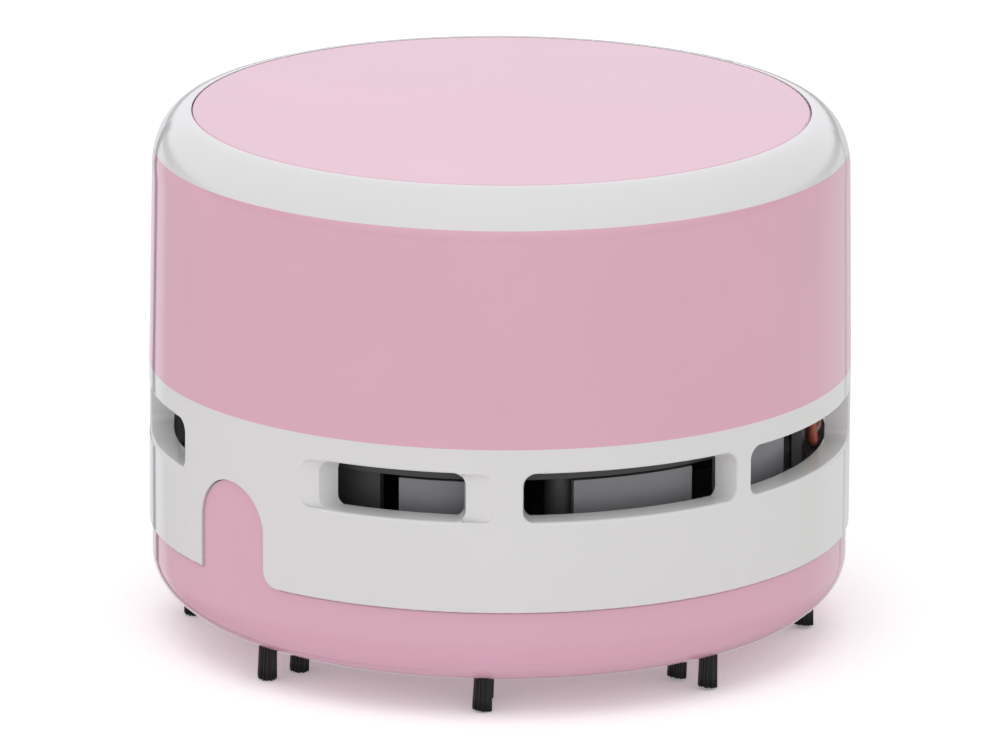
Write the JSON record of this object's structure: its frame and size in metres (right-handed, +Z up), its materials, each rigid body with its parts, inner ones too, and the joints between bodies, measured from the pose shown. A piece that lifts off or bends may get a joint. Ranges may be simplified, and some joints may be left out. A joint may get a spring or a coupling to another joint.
{
  "type": "desktop mini vacuum cleaner",
  "caption": "Round battery desk vacuum: lift-off dust base on bristle tufts with squeeze tabs, vented fan case, slide switch and flush battery lid.",
  "frame": {"origin": "middle of the plane on which the bristle tips stand", "axes": "+Z up along the fan's axis; -X and +X towards the release tabs; +Y towards the slide switch"},
  "size_m": [0.0856, 0.0856, 0.0647],
  "materials": {
    "pink_shell": "glossy moulded plastic",
    "white_shell": "glossy moulded plastic",
    "bristle_nylon": "nylon filaments",
    "dark_plastic": "satin",
    "grey_plastic": "satin",
    "filter_fleece": "non-woven fleece",
    "motor_steel": "zinc plated",
    "end_cap_plastic": "satin",
    "bronze": "sintered",
    "ferrite": "matt",
    "nickel": "nickel plated sheet",
    "brass": "tinned",
    "screw_steel": "zinc plated",
    "cell_jacket": "plain shrink jacket",
    "red_insulation": "soft PVC",
    "blue_insulation": "soft PVC"
  },
  "bodies": {
    "base": {"dust_base": "pink_shell", "suction_nozzle": "pink_shell", "outer_bristle_tufts": "bristle_nylon", "inner_bristle_tufts": "bristle_nylon"},
    "left_tab": {"release_tab_left": "pink_shell"},
    "right_tab": {"release_tab_right": "pink_shell"},
    "case": {"vented_shell": "white_shell", "body_band": "pink_shell", "cap_ring": "white_shell", "motor_deck": "dark_plastic", "inlet_plate": "grey_plastic", "filter_frame": "white_shell", "filter_cloth": "filter_fleece", "motor_can": "motor_steel", "shaft_bush": "bronze", "motor_magnets": "ferrite", "motor_end_cap": "end_cap_plastic", "motor_terminals": "brass", "battery_tray": "white_shell", "aa_cell_front": "cell_jacket", "aa_cell_back": "cell_jacket", "bridge_contact": "nickel", "negative_contact": "nickel", "positive_contact": "nickel", "switch_plate": "nickel", "switch_body": "dark_plastic", "switch_terminals": "brass", "switch_screws": "screw_steel", "case_screws": "screw_steel", "motor_screws": "screw_steel", "blue_lead": "blue_insulation", "red_battery_lead": "red_insulation", "red_motor_lead": "red_insulation"},
    "lid": {"top_lid": "pink_shell"},
    "rotor": {"impeller": "dark_plastic", "motor_shaft": "motor_steel", "armature_core": "motor_steel", "commutator": "bronze"},
    "switch": {"switch_knob": "white_shell"}
  },
  "joints": [
    {"name": "case_lift", "type": "slide", "parent": "base", "child": "case", "axis": [0, 0, 1], "range_m": [0, 0.03]},
    {"name": "lid_lift", "type": "slide", "parent": "case", "child": "lid", "axis": [0, 0, 1], "range_m": [0, 0.02]},
    {"name": "left_tab_press", "type": "hinge", "parent": "base", "child": "left_tab", "pos_m": [-0.03995, 0, 0.0137], "axis": [0, 1, 0], "range_deg": [0, 3.5], "stiffness_Nm_per_rad": 0.3},
    {"name": "right_tab_press", "type": "hinge", "parent": "base", "child": "right_tab", "pos_m": [0.03995, 0, 0.0137], "axis": [0, -1, 0], "range_deg": [0, 3.5], "stiffness_Nm_per_rad": 0.3},
    {"name": "impeller_spin", "type": "hinge", "parent": "case", "child": "rotor", "pos_m": [0, 0, 0.03], "axis": [0, 0, 1], "continuous": true},
    {"name": "switch_slide", "type": "slide", "parent": "case", "child": "switch", "axis": [1, 0, 0], "range_m": [0, 0.004]}
  ]
}
